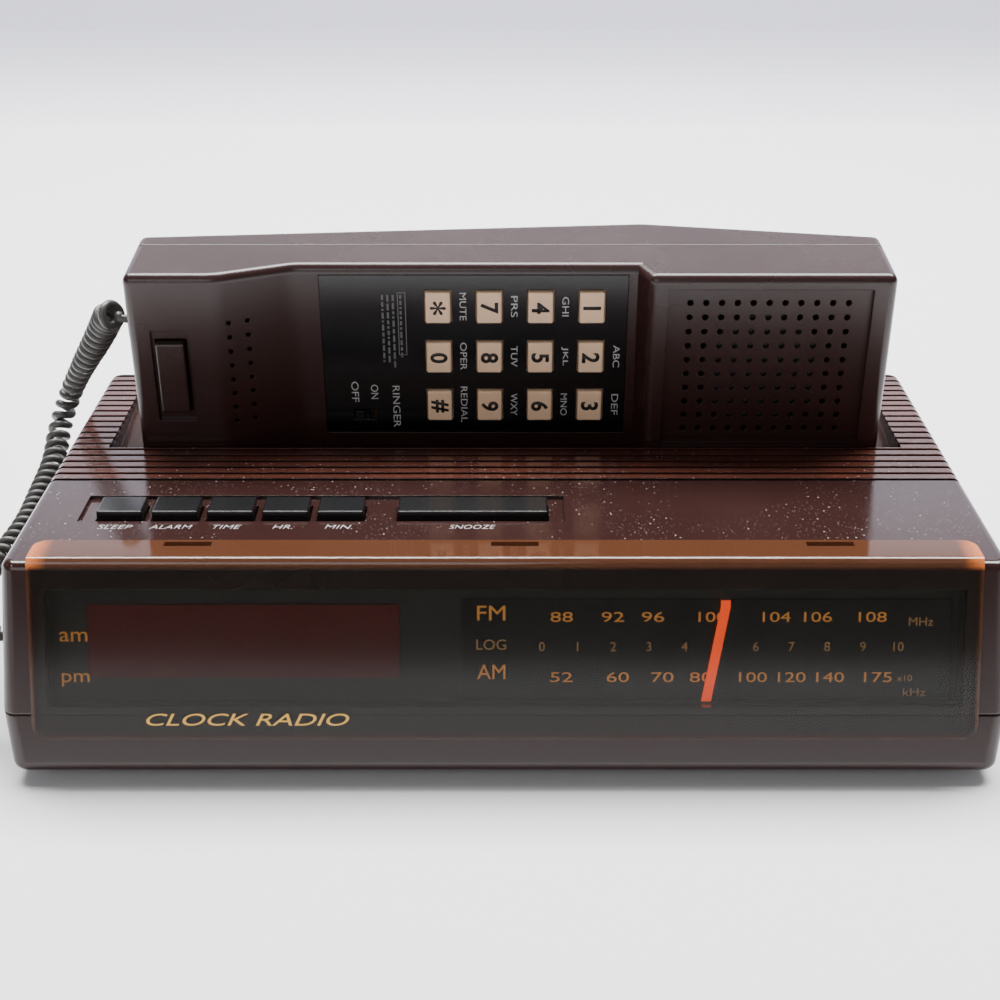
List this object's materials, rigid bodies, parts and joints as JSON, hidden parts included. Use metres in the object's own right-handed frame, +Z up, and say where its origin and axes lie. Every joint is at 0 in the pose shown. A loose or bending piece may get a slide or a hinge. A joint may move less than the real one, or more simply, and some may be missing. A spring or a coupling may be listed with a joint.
{
  "type": "clock radio telephone",
  "caption": "Desk clock radio with a smoked dial lens, clock buttons and a cradle on top that holds a keypad handset on its edge, joined by a curly cord.",
  "frame": {"origin": "on the table, under the middle of the base", "axes": "+X to the right as seen from the dial, +Y from the dial to the back, +Z up"},
  "size_m": [0.2789, 0.1506, 0.1125],
  "materials": {
    "case_plastic": "glossy moulded",
    "handset_plastic": "glossy moulded",
    "lens_plastic": "smoked, polished",
    "window_plastic": "polished",
    "black_plastic": "satin",
    "key_plastic": "satin",
    "soft_rubber": "matte",
    "cord_jacket": "satin",
    "clear_plastic": "polished",
    "pointer_plastic": "glossy",
    "circuit_board": "satin",
    "steel": "plain",
    "ferrite": "matte",
    "capsule_plastic": "matte",
    "battery_can": "satin",
    "string_fibre": "plain"
  },
  "bodies": {
    "base": {"backup_battery": "battery_can", "case_screws": "steel", "clock_board": "circuit_board", "dial_lens": "lens_plastic", "dial_panel": "black_plastic", "dial_string": "string_fibre", "ferrite_antenna": "ferrite", "handset_cord": "cord_jacket", "handset_jack": "black_plastic", "led_display": "black_plastic", "led_window": "window_plastic", "line_jack": "black_plastic", "lower_case": "case_plastic", "main_board": "circuit_board", "mains_gland": "black_plastic", "plug_base": "clear_plastic", "pulley_pin": "steel", "rubber_feet": "soft_rubber", "speaker": "steel", "transformer": "steel", "tuning_capacitor": "black_plastic", "upper_case": "case_plastic", "volume_control": "black_plastic"},
    "handset": {"handset_front": "handset_plastic", "handset_back": "handset_plastic", "keypad_panel": "black_plastic", "key_mat": "soft_rubber", "keypad_board": "circuit_board", "earpiece_capsule": "capsule_plastic", "microphone": "capsule_plastic", "handset_screws": "steel", "plug_handset": "clear_plastic"},
    "alarm_button": {"alarm_button": "black_plastic"},
    "band_switch": {"band_switch": "black_plastic"},
    "battery_door": {"battery_door": "black_plastic"},
    "cradle_plunger": {"cradle_plunger": "black_plastic"},
    "dial_pointer": {"dial_pointer": "pointer_plastic"},
    "function_switch": {"function_switch": "black_plastic"},
    "hour_button": {"hour_button": "black_plastic"},
    "idler_pulley": {"idler_pulley": "black_plastic"},
    "minute_button": {"minute_button": "black_plastic"},
    "sleep_button": {"sleep_button": "black_plastic"},
    "snooze_bar": {"snooze_bar": "black_plastic"},
    "time_button": {"time_button": "black_plastic"},
    "tuning_wheel": {"tuning_wheel": "black_plastic"},
    "volume_wheel": {"volume_wheel": "black_plastic"},
    "key_0": {"key_0": "key_plastic"},
    "key_1": {"key_1": "key_plastic"},
    "key_2": {"key_2": "key_plastic"},
    "key_3": {"key_3": "key_plastic"},
    "key_4": {"key_4": "key_plastic"},
    "key_5": {"key_5": "key_plastic"},
    "key_6": {"key_6": "key_plastic"},
    "key_7": {"key_7": "key_plastic"},
    "key_8": {"key_8": "key_plastic"},
    "key_9": {"key_9": "key_plastic"},
    "key_hash": {"key_hash": "key_plastic"},
    "key_star": {"key_star": "key_plastic"},
    "hook_bar": {"hook_bar": "handset_plastic"},
    "ringer_switch": {"ringer_switch": "black_plastic"}
  },
  "joints": [
    {"name": "handset_lift", "type": "slide", "parent": "base", "child": "handset", "axis": [0, -0.1132, 0.9936], "range_m": [0, 0.06], "deforming": ["handset_cord"]},
    {"name": "sleep_button_press", "type": "slide", "parent": "base", "child": "sleep_button", "axis": [0, 0, -1], "range_m": [0, 0.0012], "stiffness_N_per_m": 300, "springref_m": -0.0005},
    {"name": "alarm_button_press", "type": "slide", "parent": "base", "child": "alarm_button", "axis": [0, 0, -1], "range_m": [0, 0.0012], "stiffness_N_per_m": 300, "springref_m": -0.0005},
    {"name": "time_button_press", "type": "slide", "parent": "base", "child": "time_button", "axis": [0, 0, -1], "range_m": [0, 0.0012], "stiffness_N_per_m": 300, "springref_m": -0.0005},
    {"name": "hour_button_press", "type": "slide", "parent": "base", "child": "hour_button", "axis": [0, 0, -1], "range_m": [0, 0.0012], "stiffness_N_per_m": 300, "springref_m": -0.0005},
    {"name": "minute_button_press", "type": "slide", "parent": "base", "child": "minute_button", "axis": [0, 0, -1], "range_m": [0, 0.0012], "stiffness_N_per_m": 300, "springref_m": -0.0005},
    {"name": "snooze_bar_press", "type": "slide", "parent": "base", "child": "snooze_bar", "axis": [0, 0, -1], "range_m": [0, 0.0012], "stiffness_N_per_m": 300, "springref_m": -0.0005},
    {"name": "key_0_press", "type": "slide", "parent": "handset", "child": "key_0", "axis": [0, 0.9936, 0.1132], "range_m": [0, 0.0012], "stiffness_N_per_m": 300, "springref_m": -0.0005},
    {"name": "key_1_press", "type": "slide", "parent": "handset", "child": "key_1", "axis": [0, 0.9936, 0.1132], "range_m": [0, 0.0012], "stiffness_N_per_m": 300, "springref_m": -0.0005},
    {"name": "key_2_press", "type": "slide", "parent": "handset", "child": "key_2", "axis": [0, 0.9936, 0.1132], "range_m": [0, 0.0012], "stiffness_N_per_m": 300, "springref_m": -0.0005},
    {"name": "key_3_press", "type": "slide", "parent": "handset", "child": "key_3", "axis": [0, 0.9936, 0.1132], "range_m": [0, 0.0012], "stiffness_N_per_m": 300, "springref_m": -0.0005},
    {"name": "key_4_press", "type": "slide", "parent": "handset", "child": "key_4", "axis": [0, 0.9936, 0.1132], "range_m": [0, 0.0012], "stiffness_N_per_m": 300, "springref_m": -0.0005},
    {"name": "key_5_press", "type": "slide", "parent": "handset", "child": "key_5", "axis": [0, 0.9936, 0.1132], "range_m": [0, 0.0012], "stiffness_N_per_m": 300, "springref_m": -0.0005},
    {"name": "key_6_press", "type": "slide", "parent": "handset", "child": "key_6", "axis": [0, 0.9936, 0.1132], "range_m": [0, 0.0012], "stiffness_N_per_m": 300, "springref_m": -0.0005},
    {"name": "key_7_press", "type": "slide", "parent": "handset", "child": "key_7", "axis": [0, 0.9936, 0.1132], "range_m": [0, 0.0012], "stiffness_N_per_m": 300, "springref_m": -0.0005},
    {"name": "key_8_press", "type": "slide", "parent": "handset", "child": "key_8", "axis": [0, 0.9936, 0.1132], "range_m": [0, 0.0012], "stiffness_N_per_m": 300, "springref_m": -0.0005},
    {"name": "key_9_press", "type": "slide", "parent": "handset", "child": "key_9", "axis": [0, 0.9936, 0.1132], "range_m": [0, 0.0012], "stiffness_N_per_m": 300, "springref_m": -0.0005},
    {"name": "key_hash_press", "type": "slide", "parent": "handset", "child": "key_hash", "axis": [0, 0.9936, 0.1132], "range_m": [0, 0.0012], "stiffness_N_per_m": 300, "springref_m": -0.0005},
    {"name": "key_star_press", "type": "slide", "parent": "handset", "child": "key_star", "axis": [0, 0.9936, 0.1132], "range_m": [0, 0.0012], "stiffness_N_per_m": 300, "springref_m": -0.0005},
    {"name": "hook_bar_press", "type": "slide", "parent": "handset", "child": "hook_bar", "axis": [0, 0.9936, 0.1132], "range_m": [0, 0.002], "stiffness_N_per_m": 300, "springref_m": -0.0005},
    {"name": "ringer_slide", "type": "slide", "parent": "handset", "child": "ringer_switch", "axis": [1, 0, 0], "range_m": [0, 0.003]},
    {"name": "plunger_rise", "type": "slide", "parent": "base", "child": "cradle_plunger", "axis": [0, -0.1132, 0.9936], "range_m": [0, 0.003]},
    {"name": "tuning_turn", "type": "hinge", "parent": "base", "child": "tuning_wheel", "pos_m": [0.0987, -0.024, 0.03], "axis": [0, 0, 1], "range_deg": [-89, 89]},
    {"name": "pointer_slide", "type": "slide", "parent": "base", "child": "dial_pointer", "axis": [1, 0, 0], "range_m": [-0.0385, 0.0385]},
    {"name": "idler_turn", "type": "hinge", "parent": "base", "child": "idler_pulley", "pos_m": [0, -0.0402, 0.03], "axis": [0, 0, 1], "range_deg": [-265, 265]},
    {"name": "volume_turn", "type": "hinge", "parent": "base", "child": "volume_wheel", "pos_m": [0.1141, 0.031, 0.0245], "axis": [0, 0, 1], "range_deg": [-100, 170]},
    {"name": "band_slide", "type": "slide", "parent": "base", "child": "band_switch", "axis": [0, 1, 0], "range_m": [0, 0.004]},
    {"name": "function_slide", "type": "slide", "parent": "base", "child": "function_switch", "axis": [0, 1, 0], "range_m": [0, 0.008]},
    {"name": "battery_door_pull", "type": "slide", "parent": "base", "child": "battery_door", "axis": [0, 1, 0], "range_m": [0, 0.015]}
  ],
  "couplings": [
    {"joint": "pointer_slide", "follows": "tuning_turn", "m_per_rad": 0.0246},
    {"joint": "idler_turn", "follows": "tuning_turn", "ratio": 2.929},
    {"joint": "plunger_rise", "follows": "handset_lift", "ratio": 0.05}
  ]
}
